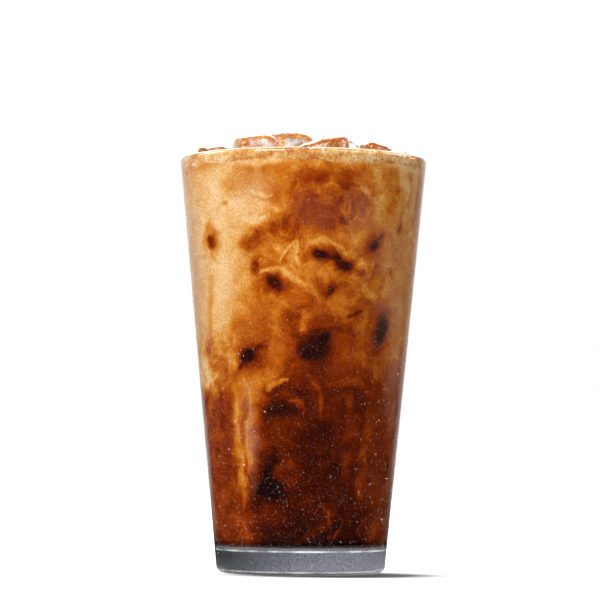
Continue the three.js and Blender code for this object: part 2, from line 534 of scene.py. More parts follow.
# The colours of milk and coffee, as they look on a screen, with the milk at each.
milk_tones = [(0, (16, 6, 6)), (0.12, (62, 13, 2)), (0.22, (96, 26, 1)), (0.34, (138, 48, 1)),
              (0.46, (168, 76, 8)), (0.58, (196, 110, 24)), (0.7, (214, 144, 62)),
              (0.82, (228, 176, 112)), (0.93, (240, 202, 154)), (1, (247, 222, 190))]
# The pale tone of the haze, much of it painted sheen, and the near black of coffee seen through ice at the
# wall.
haze_tone = (196, 150, 122)
ice_tone = (12, 8, 10)


def surface_height(x, y):
    """The drink's surface: it climbs at the wall and ripples between the ice."""
    from_wall = inner_radius(drink_level) - np.hypot(x, y)
    climb = meniscus_rise * np.exp(-np.maximum(from_wall, 0) / meniscus_reach)
    ripple = np.sin(310 * x + 0.6) * np.cos(270 * y - 0.4) + 0.5 * np.sin(550 * (x - y))
    return drink_level + climb + ripple_height * ripple


def drink_points():
    """The drink's points, ring by ring from its floor up the wall and in across its surface."""
    floor = base_thickness - wall_reach
    fillet_z = base_thickness + floor_fillet
    fillet_r = inner_radius(fillet_z) - floor_fillet
    edge = inner_radius(drink_level) + wall_reach
    outline = [(0, floor), (fillet_r * 0.5, floor)]
    outline += arc(fillet_r, fillet_z, floor_fillet + wall_reach, -90, 0, 12)
    sides = np.linspace(fillet_z, drink_level, side_rings + 1)[1:]
    outline += [(inner_radius(z) + wall_reach, z) for z in sides]
    outline += [(edge * (1 - (i + 1) / top_rings), drink_level) for i in range(top_rings - 1)]
    outline.append((0, drink_level))
    points = turned_points(outline, drink_turns)
    first_top = 1 + (len(outline) - 2 - (top_rings - 1) - 1) * drink_turns
    return points, len(outline) - 2, first_top


def sink_under_ice(points, on_surface):
    """Takes the surface down round the sunken part of each block, out of sight inside the ice."""
    hidden = np.zeros(len(points))
    for block in ice_blocks:
        places = vertex_values(block.data)
        faces = [list(polygon.vertices) for polygon in block.data.polygons]
        tree = BVHTree.FromPolygons([Vector(p) for p in places], faces)
        low, high = places.min(0), places.max(0)
        reach = 2 * mm
        near = np.all((points[:, :2] > low[:2] - reach) & (points[:, :2] < high[:2] + reach), axis=1)
        for index in np.flatnonzero(near & on_surface):
            here = Vector(points[index])
            distance = tree.find_nearest(here)[3]
            bottom = tree.ray_cast(Vector((here.x, here.y, 0)), Vector((0, 0, 1)))[0]
            inside = bottom is not None and bottom.z < here.z and tree.ray_cast(here, Vector((0, 0, 1)))[0]
            if inside and distance > 0.35 * mm:
                hidden[index] = here.z - bottom.z
                points[index, 2] = bottom.z + 0.3 * mm
            elif not inside and distance < reach:
                points[index, 2] += 0.7 * mm * math.exp(-distance / (0.8 * mm))
    return hidden


def banded(heights, bands):
    """The milk of one side of the glass at those heights, in millimetres."""
    return np.interp(heights, *zip(*bands))


class MilkClouds:
    """The milk, the pale haze and the dark ice that show at each point of the drink, laid on cloud by
    cloud. Much of the haze is painted sheen, for the light that the dew on the glass scatters, most of all
    near the sides. Angles are in degrees from the front, to the right, and heights and half widths are in
    millimetres. The clouds run on round each side to the back, where they hang higher and the eddies are
    different."""

    def __init__(self, points):
        eddies = [swirl_noise(points, 13 * mm, 2, seed) for seed in (3, 5, 7)]
        curls = [swirl_noise(points, 4 * mm, 3, seed) for seed in (13, 15, 17)]
        pushed = points + 1.3 * mm * np.column_stack(eddies) + 0.8 * mm * np.column_stack(curls)
        self.height = pushed[:, 2] / mm
        self.radius = outer_radius(points[:, 2]) / mm
        turn = np.degrees(np.arctan2(pushed[:, 0], -pushed[:, 1]))
        self.across = np.where(np.abs(turn) > 90, np.sign(turn) * 180 - turn, turn)
        self.height -= back_rise * blend(84, 124, np.abs(turn))
        leftward, rightward = blend(-22, -44, self.across), blend(34, 60, self.across)
        self.milk = banded(self.height, middle) * (1 - leftward - rightward)
        left_milk, right_milk = banded(self.height, left_side), banded(self.height, right_side)
        self.milk += left_milk * leftward + right_milk * rightward
        self.milk += 0.16 * swirl_noise(points, 11 * mm, 3, 23) * blend(80, 120, np.abs(turn))
        # Painted sheen: a pale haze on the right side, front and back, above about 60 mm, for light that
        # the dew scatters.
        self.haze = 0.24 * blend(50, 76, self.across) * blend(60, 90, self.height)
        self.ice = np.zeros(len(points))
        self.ragged = 1 + 0.22 * swirl_noise(points, 5 * mm, 3, 29)

    def away(self, angle, height):
        """How far each point is from a place on the wall, to the right and upward."""
        return np.radians(self.across - angle) * self.radius, self.height - height

    def oval(self, angle, height, wide, tall, lean, edge):
        """The share of a soft oval at each point. Its lean is in degrees to the right."""
        tilt = math.radians(lean)
        across, along = self.away(angle, height)
        right = across * math.cos(tilt) - along * math.sin(tilt)
        upward = across * math.sin(tilt) + along * math.cos(tilt)
        return blend(1 + edge, 1 - edge, self.ragged * np.hypot(right / wide, upward / tall))

    def band(self, route, edge):
        """The share of a soft band through places on the wall, each (angle, height, half width)."""
        share = np.zeros(len(self.height))
        steps = np.linspace(0, len(route) - 1, 14 * (len(route) - 1) + 1)
        angles, heights, halves = np.transpose(route)
        angles, heights = smooth_between(steps, angles), smooth_between(steps, heights)
        halves = np.interp(steps, np.arange(len(route)), halves)
        for angle, height, half in zip(angles, heights, halves):
            distance = self.ragged * np.hypot(*self.away(angle, height)) / half
            share = np.maximum(share, blend(1 + edge, 1 - edge, distance))
        return share

    def cloud(self, amount, angle, height, wide, tall, lean=0, strength=0.6, edge=0.8):
        """Brings the milk towards that amount in a soft oval."""
        self.milk += (amount - self.milk) * strength * self.oval(angle, height, wide, tall, lean, edge)

    def strand(self, amount, *route, strength=0.6, edge=0.9):
        """Brings the milk towards that amount along a soft band."""
        self.milk += (amount - self.milk) * strength * self.band(route, edge)

    def haze_and_sheen(self, angle, height, wide, tall, strength):
        """Lays a pale haze over an oval: partly milk, partly painted sheen for light that the dew
        scatters.
        """
        self.haze = np.maximum(self.haze, strength * self.oval(angle, height, wide, tall, 0, 0.9))

    def ice_at_wall(self, angle, height, wide, tall, lean, strength, edge):
        """Darkens an oval where sunken ice touches the wall."""
        self.ice = np.maximum(self.ice, strength * self.oval(angle, height, wide, tall, lean, edge))


def smooth_between(steps, values):
    """Values at steps along a curve that runs smoothly through them all."""
    slopes = np.gradient(values)
    low = np.minimum(steps.astype(int), len(values) - 2)
    part = steps - low
    ease = part * part * (3 - 2 * part)
    straight = values[low] + slopes[low] * part
    back = values[low + 1] - slopes[low + 1] * (1 - part)
    return straight + (back - straight) * ease


def lay_upper_clouds(clouds):
    """The upper half: cream on the left, brown and orange coffee in the middle, tan on the right."""
    clouds.cloud(cream, -20, 147.5, 20, 3.6, strength=1, edge=0.3)
    clouds.cloud(0.78, 24, 147, 12, 2.2, lean=4, strength=1, edge=0.4)
    clouds.cloud(0.62, -50, 145.6, 8, 1.3, lean=-8, strength=0.8, edge=0.6)
    clouds.cloud(0.8, -26, 129, 10, 12, strength=0.75, edge=0.7)
    clouds.cloud(0.82, -32, 122.6, 8, 3, lean=-18, strength=0.5)
    clouds.cloud(0.8, 62, 142, 9, 3.6, lean=-14, strength=0.9, edge=0.5)
    clouds.cloud(0.4, 9, 133, 11, 9.4, strength=0.85, edge=0.5)
    clouds.cloud(0.34, 13, 132, 7.6, 7, strength=0.7)
    clouds.strand(0.57, (-12, 141, 1.6), (-4, 144, 2), (6, 144.4, 1.8), (16, 142.8, 1.4), strength=0.95,
                  edge=0.5)
    clouds.cloud(0.56, 37, 141.4, 8, 3.4, lean=-4, strength=0.95, edge=0.5)
    clouds.strand(0.58, (-8, 143, 3.2), (-8, 135, 2.2), (-8, 127, 2), strength=0.8, edge=0.8)
    clouds.cloud(0.6, -16, 139, 4, 5)
    clouds.cloud(0.76, -22, 138, 2.4, 9, strength=0.5)
    clouds.cloud(0.66, -38, 137, 4.2, 4.8, strength=0.85, edge=0.7)
    clouds.cloud(0.93, -50, 137, 4, 7, strength=0.4, edge=0.9)
    clouds.cloud(0.93, -30, 130, 7, 4, lean=20, strength=0.5)
    clouds.strand(0.62, (-25, 134, 0.6), (-20, 132, 0.8), (-16, 129, 0.6), strength=0.5)
    clouds.strand(0.9, (-23, 131, 0.8), (-17, 129.6, 0.9), (-12, 126.6, 0.6), strength=0.5)
    clouds.strand(0.96, (-27, 136, 0.5), (-21, 133.4, 0.7), (-15, 133, 0.4))
    clouds.strand(0.66, (-28, 127.4, 0.4), (-21, 126.4, 0.6), (-14, 124, 0.4))
    clouds.strand(0.95, (-34, 126, 0.6), (-26, 124.6, 0.8), (-18, 125.6, 0.5), strength=0.5)
    clouds.strand(0.7, (-46, 128, 0.5), (-50, 122, 0.8), (-47, 116, 0.7), (-50, 110, 0.4), strength=0.5)
    clouds.cloud(0.46, -41, 130.4, 1.6, 1, lean=-22, strength=0.8, edge=0.6)
    clouds.cloud(0.3, 23, 138, 4, 4, strength=0.5)
    clouds.strand(0.62, (32, 137, 1.6), (33, 130, 2.2), (32, 124, 1.8), strength=0.5)
    clouds.strand(0.78, (41, 136, 2), (42, 132, 3), (39, 126, 2.2))
    clouds.strand(0.5, (50, 142, 1), (51, 134, 1.6), (50, 126, 1.2), strength=0.5, edge=0.95)
    clouds.strand(0.5, (60, 146, 1.4), (64, 139, 1.8), (66, 131, 1.4))
    clouds.cloud(0.74, 48, 125, 8, 4, lean=-20, edge=0.9)
    clouds.cloud(0.76, 38, 133, 4, 4, strength=0.5, edge=0.9)
    clouds.cloud(0.86, 56, 145.4, 10, 2, strength=0.85, edge=0.6)
    clouds.cloud(0.42, 78, 138, 3, 7, strength=0.7)
    clouds.cloud(0.5, 27, 127.6, 3, 2.6, strength=0.5)
    clouds.strand(0.46, (73, 143, 1), (74, 133, 1.3), (72, 124, 1))
    clouds.cloud(0.36, 17, 121.4, 8, 2.4, lean=-8, strength=0.5)
    clouds.cloud(0.26, 8, 128, 8, 5, strength=0.7)
    clouds.cloud(0.62, 22, 127.6, 3.4, 2.6)
    clouds.cloud(0.72, 54, 122.4, 3.6, 3)
    clouds.cloud(0.9, -50, 122.4, 4, 2.6)
    clouds.cloud(0.94, -67, 113, 5, 6, strength=0.5, edge=0.9)
    clouds.cloud(0.46, 82, 120, 5, 16, edge=0.9)
    clouds.cloud(0.5, 36, 141.6, 6.4, 2.6, lean=-4, strength=0.95, edge=0.6)
    clouds.strand(0.38, (-30.6, 115.6, 2.4), (-24, 118, 2.8), (-16, 120.6, 2.4), (-7.6, 122, 2),
                  strength=0.85, edge=0.8)
    clouds.cloud(0.3, -27, 116.6, 3, 1.8, lean=-20)
    clouds.cloud(0.3, -10, 122, 2, 1.4, strength=0.5)
    clouds.cloud(0.62, -8, 114, 11, 3.4, strength=0.5)
    clouds.cloud(0.56, 14, 118.6, 6, 1.4, lean=-6)
    clouds.strand(0.84, (-12, 110, 0.6), (-9, 113.4, 0.8), (-5.4, 115.6, 1), (-2.6, 115, 0.8),
                  (-3.4, 112.4, 0.7), (-1, 110, 0.5), strength=0.7, edge=0.6)
    clouds.strand(0.74, (1, 113.4, 0.5), (5, 115.8, 0.8), (11, 116.8, 0.9), (18, 115.4, 0.7),
                  (23, 112.6, 0.4), strength=0.7, edge=0.8)
    clouds.strand(0.96, (-20, 106.6, 0.6), (-17, 107.4, 1.1), (-13.5, 107.6, 0.6), strength=0.8, edge=0.8)
    clouds.strand(0.8, (-14, 107, 1), (-8, 106.4, 1.4), (-2, 103.6, 1.2), (2, 101.6, 0.7), strength=0.7,
                  edge=0.7)
    clouds.cloud(0.46, 15, 104, 5, 3.4, strength=0.7, edge=0.7)
    clouds.cloud(0.42, 8, 96, 9, 6)
    # Pale haze on the coffee: painted sheen where the dew on the glass catches the light, most of it near
    # the sides.
    clouds.haze_and_sheen(31, 127, 6, 7, 0.16)
    clouds.haze_and_sheen(8, 128, 9, 6, 0.05)
    clouds.haze_and_sheen(-26, 136, 7, 6, 0.25)
    clouds.haze_and_sheen(-74, 108, 7, 22, 0.55)
    clouds.haze_and_sheen(-74, 140, 7, 8, 0.3)
    clouds.haze_and_sheen(56, 114, 12, 10, 0.24)
    clouds.haze_and_sheen(62, 94, 8, 12, 0.34)


def lay_lower_clouds(clouds):
    """The lower half: orange coffee, then the plume on the left, in black coffee with red edges."""
    clouds.cloud(0.74, -60, 106, 8, 18, strength=0.4, edge=0.9)
    clouds.cloud(0.9, -52, 102, 7, 12, strength=0.5)
    clouds.cloud(0.74, -34, 106, 5, 7)
    clouds.strand(0.62, (-58, 104, 1.2), (-60, 92, 1.8), (-62, 86, 1.6), edge=0.8)
    clouds.cloud(0.62, -40, 94, 4, 8)
    clouds.cloud(0.47, -33, 86, 6, 6, strength=0.7, edge=0.7)
    clouds.cloud(0.26, -4, 88.4, 5, 5, strength=0.8, edge=0.6)
    clouds.strand(0.58, (3, 92, 0.8), (3.4, 88, 1.3), (1, 83.6, 0.9), strength=0.7, edge=0.8)
    clouds.cloud(0.5, -14, 79, 7, 5)
    clouds.cloud(0.36, 26, 82, 10, 8, strength=0.7)
    clouds.cloud(0.3, 30, 70, 12, 5)
    clouds.strand(0.16, (26, 90.4, 0.5), (30, 91.4, 0.6), (34, 92.8, 0.4), strength=0.8, edge=0.6)
    clouds.cloud(0.5, -60, 77, 8, 4.6, strength=0.85, edge=0.6)
    clouds.cloud(0.48, -45, 82.6, 5, 5)
    clouds.cloud(0.62, 66, 79, 4.6, 4, edge=0.7)
    clouds.cloud(0.42, -63, 77, 3, 3.6, lean=-20, strength=0.7, edge=0.6)
    clouds.cloud(0.46, -50, 81, 3.4, 1.6, lean=-20, edge=0.6)
    clouds.cloud(0.84, -76, 71, 5.4, 6, lean=-4, strength=0.9, edge=0.35)
    clouds.cloud(0.55, -50, 71, 5, 3.6, lean=14, strength=0.7, edge=0.5)
    clouds.cloud(0.6, -33, 68, 7.6, 4, lean=-14, strength=0.95, edge=0.5)
    clouds.cloud(0.56, -22, 69.6, 5.4, 2.4, lean=-24, strength=0.8, edge=0.6)
    clouds.strand(0.62, (-20, 66, 1.2), (-15, 67.4, 1), (-11, 68, 0.5), strength=0.9, edge=0.5)
    clouds.strand(0.36, (-26, 62, 3), (-26, 52, 3), (-29, 42, 2.6), (-33, 32, 2.2), (-38, 22, 1.4),
                  strength=0.7)
    clouds.strand(0.47, (-35, 68, 6.6), (-35, 61, 6.6), (-37, 53, 6.2), (-39.4, 44, 5.6),
                  (-41.4, 36, 4.6), (-42, 29, 2.8), (-43, 24, 1), strength=0.9, edge=0.6)
    clouds.strand(0.6, (-28, 67, 2.4), (-29, 60, 2.8), (-32, 53, 2.4), (-34, 46, 2.4), (-37, 39, 1.7),
                  (-40, 32, 0.9), strength=0.75, edge=0.8)
    clouds.strand(0.6, (-40, 67, 3), (-41.4, 58, 2.6), (-43, 47, 1.8), (-44.6, 38, 2), (-43, 28, 1),
                  strength=0.65, edge=0.8)
    clouds.strand(0.36, (-36, 62, 0.6), (-37.4, 53, 1), (-38.4, 44, 1), (-39.6, 36, 0.5), strength=0.7,
                  edge=0.8)
    clouds.strand(0.24, (-50, 60, 2), (-53, 48, 2.6), (-55, 36, 2.4), (-52, 24, 1.6), strength=0.5)
    clouds.strand(0.72, (-44, 66, 0.4), (-42, 60, 0.6), (-43, 54, 0.5), (-42, 48, 0.3))
    clouds.strand(0.74, (-36, 70, 0.4), (-32, 64, 0.6), (-33, 57, 0.6), (-35, 50, 0.5), (-36, 44, 0.3))
    clouds.strand(0.66, (-40, 44, 0.4), (-43, 38, 0.6), (-42, 32, 0.5), (-44, 27, 0.3))
    clouds.strand(0.4, (2, 70, 0.7), (8, 66.6, 1), (11.4, 62, 0.9), (12.4, 56, 0.6), strength=0.7,
                  edge=0.8)
    clouds.strand(0.48, (-9, 60.6, 0.5), (-5, 60.6, 0.9), (-2.4, 58.6, 0.8), (-1.6, 57, 0.5),
                  strength=0.8, edge=0.6)
    clouds.strand(0.42, (-29, 53, 0.5), (-26, 56, 0.6), (-23, 58.4, 0.4), strength=0.8, edge=0.6)
    clouds.cloud(0.22, -15, 50, 9, 7, strength=0.7)
    clouds.strand(0.28, (-26, 47, 0.8), (-12, 47.6, 1.3), (2, 46, 1.2), (14, 42, 0.7), strength=0.5)
    clouds.strand(0.3, (-10, 55, 0.6), (-4, 53.6, 0.8), (4, 53, 0.5), edge=0.8)
    clouds.cloud(0.1, 11, 50, 7, 5, strength=0.7)
    clouds.cloud(0.09, 12, 36, 8, 10, edge=0.9)
    clouds.strand(0.34, (32, 62, 1.4), (33, 48, 2.2), (31, 36, 1.6))
    clouds.strand(0.37, (44, 56, 1.6), (44, 40, 2.4), (42, 28, 1.8))
    clouds.strand(0.2, (25, 60, 2), (26, 50, 2.4), edge=0.8)
    clouds.strand(0.24, (58, 60, 1.4), (59, 40, 2), (56, 24, 1.4), strength=0.5)
    clouds.cloud(0.2, -26, 22, 8, 5, strength=0.7)
    clouds.strand(0.26, (9, 22.6, 0.4), (12, 25, 0.7), (16, 25.4, 0.7), (18, 23, 0.4))
    clouds.strand(0.22, (-4, 11.6, 0.8), (6, 13.6, 1.3), (16, 16.6, 1.2), (27, 20, 0.8))
    clouds.strand(0.32, (20, 24, 0.4), (20.4, 18, 0.6), (19.6, 12, 0.5), edge=0.8)
    clouds.strand(0.29, (22, 12, 0.5), (27, 14.4, 0.7), (29, 18, 0.6), (26, 20, 0.4), edge=0.8)
    # Painted sheen, mostly at the sides, where the dew on the glass catches the light.
    clouds.haze_and_sheen(80, 44, 3, 30, 0.25)
    clouds.haze_and_sheen(-86, 42, 3, 28, 0.4)
    clouds.haze_and_sheen(-33, 50, 2.4, 12, 0.28)
    clouds.haze_and_sheen(80, 76, 5, 14, 0.4)
    clouds.haze_and_sheen(68, 73, 5, 12, 0.3)
    clouds.haze_and_sheen(72, 58, 4, 7, 0.25)


def lay_sunken_ice(clouds):
    """The blocks that lie at the wall under the drink: dark coffee shows through them."""
    for angle, height, wide, tall, lean, strength in (
        (-52.4, 117, 2.7, 2.6, -4, 0.74),
        (-25.4, 108.8, 1.4, 2.2, 6, 0.62),
        (-13, 102.8, 2.8, 1.9, 36, 0.85),
        (15.3, 99.5, 1.3, 1.4, 20, 0.85),
        (10, 112.4, 3.9, 1.5, 8, 0.92),
        (17.4, 110.4, 3.2, 1.2, 26, 0.84),
        (23.6, 107.8, 2.9, 1.8, 34, 0.9),
        (28.6, 106, 1.3, 0.8, 30, 0.5),
        (38, 115.4, 2.2, 2.2, 12, 0.9),
        (42, 118.4, 0.8, 1.8, 30, 0.75),
        (51.6, 106.4, 1.2, 1.3, 0, 0.5),
        (57, 123.3, 1.4, 1.6, 0, 0.4),
        (-31.6, 77, 3.3, 3, 10, 0.92),
        (-36.4, 73.8, 2.2, 1.2, -40, 0.7),
        (-25.6, 79.3, 2.6, 0.9, -30, 0.7),
        (8.4, 79.2, 6.2, 5.2, -30, 0.87),
        (3.6, 77.4, 1.8, 3, 14, 0.93),
        (12, 82, 3.4, 2.1, -24, 0.93),
        (49.4, 86.4, 3.6, 5, 6, 0.9),
        (-14.4, 58, 5.2, 1.7, 4, 0.85),
        (-3, 58, 2.0, 1.0, 0, 0.4),
        (-4, 62.4, 3.0, 1.2, -10, 0.5),
        (-17.4, 39.6, 1.7, 2.4, 10, 0.9),
        (-19.4, 35.6, 3, 3.6, 10, 0.98),
        (-21.2, 30.6, 5, 4.8, 0, 1.0),
        (-16.4, 27.4, 3.4, 2.2, -14, 0.92),
        (8, 46, 9, 10, 0, 0.3),
    ):
        for size, darkness, edge in ((1.7, 0.6, 0.7), (1.22, 1, 0.6)):
            clouds.ice_at_wall(angle, height, wide * size, tall * size, lean, strength * darkness, edge)
    red_core = clouds.oval(-8.4, 35.6, 4.3, 4.7, -10, 0.35)
    clouds.ice *= 1 - red_core
    clouds.milk += (0.06 - clouds.milk) * clouds.ice
    clouds.ice = blend(0.74, 1, clouds.ice)
    clouds.milk += (0.19 - clouds.milk) * 0.9 * red_core


def lay_foam(clouds, points, surface, hidden):
    """The surface: froth in patches, with bare tan coffee between and under the ice."""
    froth = blend(-0.5, 0.7, swirl_noise(points, 8 * mm, 4, 31))
    foamy = 0.56 + 0.26 * froth
    foamy += (0.6 - foamy) * blend(0, 5 * mm, hidden)
    clouds.milk[surface] = foamy[surface]
    clouds.haze[surface] = 0.3
    clouds.ice[surface] = 0


def tone(screen):
    """A colour as it looks on a screen, from 0 to 255, as the light that it sends back."""
    share = np.array(screen) / 255
    return np.where(share <= 0.04045, share / 12.92, ((share + 0.055) / 1.055) ** 2.4)


def row_of_tones(finish, amount, tones):
    """The amount carried over to a row of screen colours, each with its place from 0 to 1."""
    ramp = finish.add("ValToRGB", {"Fac": amount})
    elements = ramp.color_ramp.elements
    for place, screen in tones[1:-1]:
        elements.new(place)
    for element, (place, screen) in zip(elements, tones):
        element.position = place
        element.color = (*tone(screen), 1)
    return ramp.outputs["Color"]


def coffee_material(name, shine):
    """Milky coffee: the clouds laid on it, torn and folded more finely, and crossed by curling
    threads of milk. It shines only where it meets the air."""
    finish = Finish(bpy.data.materials.new(name))
    laid = finish.add("Attribute", attribute_name="marbling")
    milk, haze, ice = finish.add("SeparateColor", {"Color": laid.outputs["Color"]}).outputs
    drift = finish.place()
    for size, reach in ((16 * mm, 14 * mm), (5 * mm, 3.4 * mm)):
        bend = finish.noise(size, detail=1, place=drift, result="Color")
        push = finish.add("VectorMath", {0: bend, 1: [reach] * 3, 2: drift}, operation="MULTIPLY_ADD")
        drift = push.outputs["Vector"]
    folds = finish.noise(7 * mm, detail=8, roughness=0.62, place=drift)
    busy = finish.span(finish.noise(20 * mm, detail=2), 0.35, 0.65, 0.35, 1.1)
    room = finish.span(finish.maths("PINGPONG", milk, 0.5), 0.1, 0.45, 0.3, 1)
    busy = finish.maths("MULTIPLY", busy, room)
    torn = finish.maths("MULTIPLY", finish.span(folds, 0, 1, -0.5, 0.5), busy)
    ridge = finish.maths("PINGPONG", finish.noise(9 * mm, detail=2, place=drift), 0.5)
    threads = finish.maths("MULTIPLY", finish.span(ridge, 0.45, 0.5, 0, 0.1), busy)
    amount = finish.maths("ADD", finish.maths("ADD", milk, torn), threads)
    # The haze mixes a pale tone into the coffee's colour: painted sheen for light that the dew scatters.
    colour = finish.mix(haze, row_of_tones(finish, amount, milk_tones), tone(haze_tone))
    deep = finish.span(finish.noise(3 * mm, detail=4, roughness=0.6, place=drift), 0, 1, -0.5, 0.5)
    deep = finish.span(finish.maths("ADD", ice, deep), 0.1, 1, 0, 0.75)
    colour = finish.mix(deep, colour, tone(ice_tone))
    grain = finish.span(finish.noise(0.6 * mm, roughness=0.8), 0.3, 0.7, 0.64, 1.36)
    finish.give("Base Color", finish.mix(1, colour, grain, "MULTIPLY"))
    finish.give("Roughness", finish.span(finish.noise(4 * mm), 0.3, 0.7, 0.12, 0.3))
    finish.give("IOR", 1.33)
    finish.give("Specular IOR Level", shine)
    finish.relief(finish.noise(1.4 * mm), 0.12 * mm)
    return finish.owner


points, rings, first_top = drink_points()
at_top = np.arange(len(points)) >= first_top
on_surface = np.arange(len(points)) >= first_top + drink_turns
points[at_top, 2] = surface_height(points[at_top, 0], points[at_top, 1])
hidden = sink_under_ice(points, on_surface)
coffee_faces = turned_faces(rings, drink_turns, 0, len(points) - 1)
coffee = mesh_object("coffee", points, coffee_faces, coffee_material("coffee_at_the_wall", 0))
coffee.data.materials.append(coffee_material("coffee_surface", 0.5))
coffee.data.materials.append(coffee_material("coffee_on_the_floor", 0.9))
order = np.arange(len(coffee_faces)) // drink_turns
finishes = np.where(order >= rings - top_rings + 1, 1, np.where(order < floor_rings, 2, 0))
coffee.data.polygons.foreach_set("material_index", finishes.astype(np.int32))
clouds = MilkClouds(points)
lay_upper_clouds(clouds)
lay_lower_clouds(clouds)
lay_sunken_ice(clouds)
lay_foam(clouds, points, on_surface, hidden)
marbling = coffee.data.color_attributes.new("marbling", "FLOAT_COLOR", "POINT")
laid = np.column_stack([clouds.milk, clouds.haze, clouds.ice, np.ones(len(points))])
marbling.data.foreach_set("color", laid.ravel())
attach(coffee, "root")
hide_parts("drink")


# Froth clings where the drink meets the glass and floats between the ice. It is a ragged collar of
# milky foam that dries on the wall, and loose bubbles from a pinhead to a lentil in size.

collar_turns = 400
collar_rows = 12
bubble_count = 1400
wall_bubble_count = 700


def collar_points():
    """The collar's points, row by row round the wall: up its outside and down its inside."""
    angles = np.linspace(0, 2 * math.pi, collar_turns, endpoint=False)
    round_wall = np.column_stack([np.cos(angles), np.sin(angles), np.zeros(collar_turns)])
    at_rim = round_wall * rim_radius
    foot = drink_level - (1.3 + 1.2 * swirl_noise(at_rim, 7 * mm, 4, 37).clip(-0.9, 1)) * mm
    top = drink_level + (2.6 + 0.4 * swirl_noise(at_rim, 5 * mm, 4, 41).clip(-1, 1)) * mm
    up = np.linspace(0, 1, collar_rows)
    rows = []
    for share in up:
        height = foot + (top - foot) * share
        reach = inner_radius(height) + 0.16 * mm * math.sin(math.pi * share) ** 0.5
        rows.append(round_wall * reach[:, None] + np.outer(height, [0, 0, 1]))
    for share in up[::-1]:
        height = foot + (top - foot) * share * 0.98
        lumps = swirl_noise(at_rim + np.outer(height, [0, 0, 1]), 1.6 * mm, 2, 43)
        thick = (0.75 - 0.55 * share + 0.16 * lumps) * mm
        rows.append(round_wall * (inner_radius(height) - thick)[:, None] + np.outer(height, [0, 0, 1]))
    return np.concatenate(rows)


def ring_faces(rows, turns):
    """Faces of a ring whose rows of points close on themselves both ways."""
    faces = []
    for row, i in itertools.product(range(rows), range(turns)):
        low, high, following = row * turns, (row + 1) % rows * turns, (i + 1) % turns
        faces.append([low + i, high + i, high + following, low + following][::-1])
    return faces


def foam_material():
    """Foam pressed on the glass: pale crinkles with brown coffee between, and darker towards the right."""
    finish = Finish(bpy.data.materials.new("foam"))
    crinkles = finish.noise(1.5 * mm, detail=6, roughness=0.75, distortion=1)
    shade = finish.maths("MULTIPLY_ADD", finish.noise(9 * mm, detail=2), 0.5, crinkles)
    # Darker towards the right.
    shade = finish.maths("MULTIPLY_ADD", finish.axes(finish.place())["X"], -0.6, shade)
    tones = ((0.26, (158, 78, 16)), (0.42, (206, 132, 48)), (0.58, (228, 174, 98)), (0.8, (246, 220, 184)))
    finish.give("Base Color", row_of_tones(finish, finish.span(shade, 0.42, 1.06, 0, 1), tones))
    finish.give("Roughness", finish.span(crinkles, 0.3, 0.7, 0.4, 0.1))
    finish.give("IOR", 1.33)
    finish.relief(crinkles, 0.5 * mm)
    return finish.owner


def froth_material():
    """Thin shells of milky coffee that shine like soap bubbles."""
    finish = Finish(bpy.data.materials.new("froth"))
    shade = finish.noise(3 * mm)
    patches = finish.span(shade, 0.35, 0.65, 0, 1)
    finish.give("Base Color", finish.mix(patches, tone((206, 150, 92)), tone((246, 222, 190))))
    finish.give("Transmission Weight", 0.3)
    finish.give("Roughness", finish.span(shade, 0.3, 0.7, 0.03, 0.12))
    finish.give("IOR", 1.33)
    finish.let_lamps_through((0.9, 0.86, 0.8))
    return finish.owner


foam_collar = mesh_object("foam_collar", collar_points(), ring_faces(2 * collar_rows, collar_turns),
                          foam_material())
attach(foam_collar, "root")

froth_random = np.random.default_rng(23)
froth = froth_material()
froth_bubble = bead_points(8, 2)
free = np.flatnonzero((np.arange(len(points)) >= first_top + 2 * drink_turns) & (hidden == 0))
from_axis = np.hypot(points[free, 0], points[free, 1])
from_wall = inner_radius(drink_level) - from_axis
clumps = blend(-0.3, 0.8, swirl_noise(points[free], 6 * mm, 3, 53))
crowding = (0.1 + np.exp(-from_wall / (5 * mm)) + clumps) * from_axis
floating = points[froth_random.choice(free, bubble_count, p=crowding / crowding.sum())]
floating[:, :2] += froth_random.normal(0, 0.25 * mm, (bubble_count, 2))
bubble_sizes = (0.2 + 0.75 * froth_random.random(bubble_count) ** 4) * mm
upward = np.tile([0.0, 0.0, 1.0], (bubble_count, 1))
froth_bubbles = scattered_beads("froth_bubbles", froth_bubble, floating, upward, bubble_sizes, froth)
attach(froth_bubbles, "root")

angle = froth_random.uniform(0, 2 * math.pi, wall_bubble_count)
height = drink_level + froth_random.uniform(0.2, 2.2, wall_bubble_count) * mm
radius = inner_radius(height) - 0.25 * mm
inward = np.column_stack([-np.cos(angle), -np.sin(angle), np.zeros(wall_bubble_count)])
at_wall = np.column_stack([radius * np.cos(angle), radius * np.sin(angle), height])
wall_sizes = (0.14 + 0.5 * froth_random.random(wall_bubble_count) ** 3) * mm
wall_bubbles = scattered_beads("wall_bubbles", froth_bubble, at_wall, inward, wall_sizes, froth)
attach(wall_bubbles, "root")


# The table and the wall behind it are one white sweep of card. Five soft lamps light the glass from
# above and from all round, and the sweep is brightest behind it.

floor_reach = 6
# Where the painted shadow lies on the card, and how far it reaches each way.
painted_shadow_centre = (12 * mm, -19 * mm)
painted_shadow_half = (45 * mm, 28 * mm)


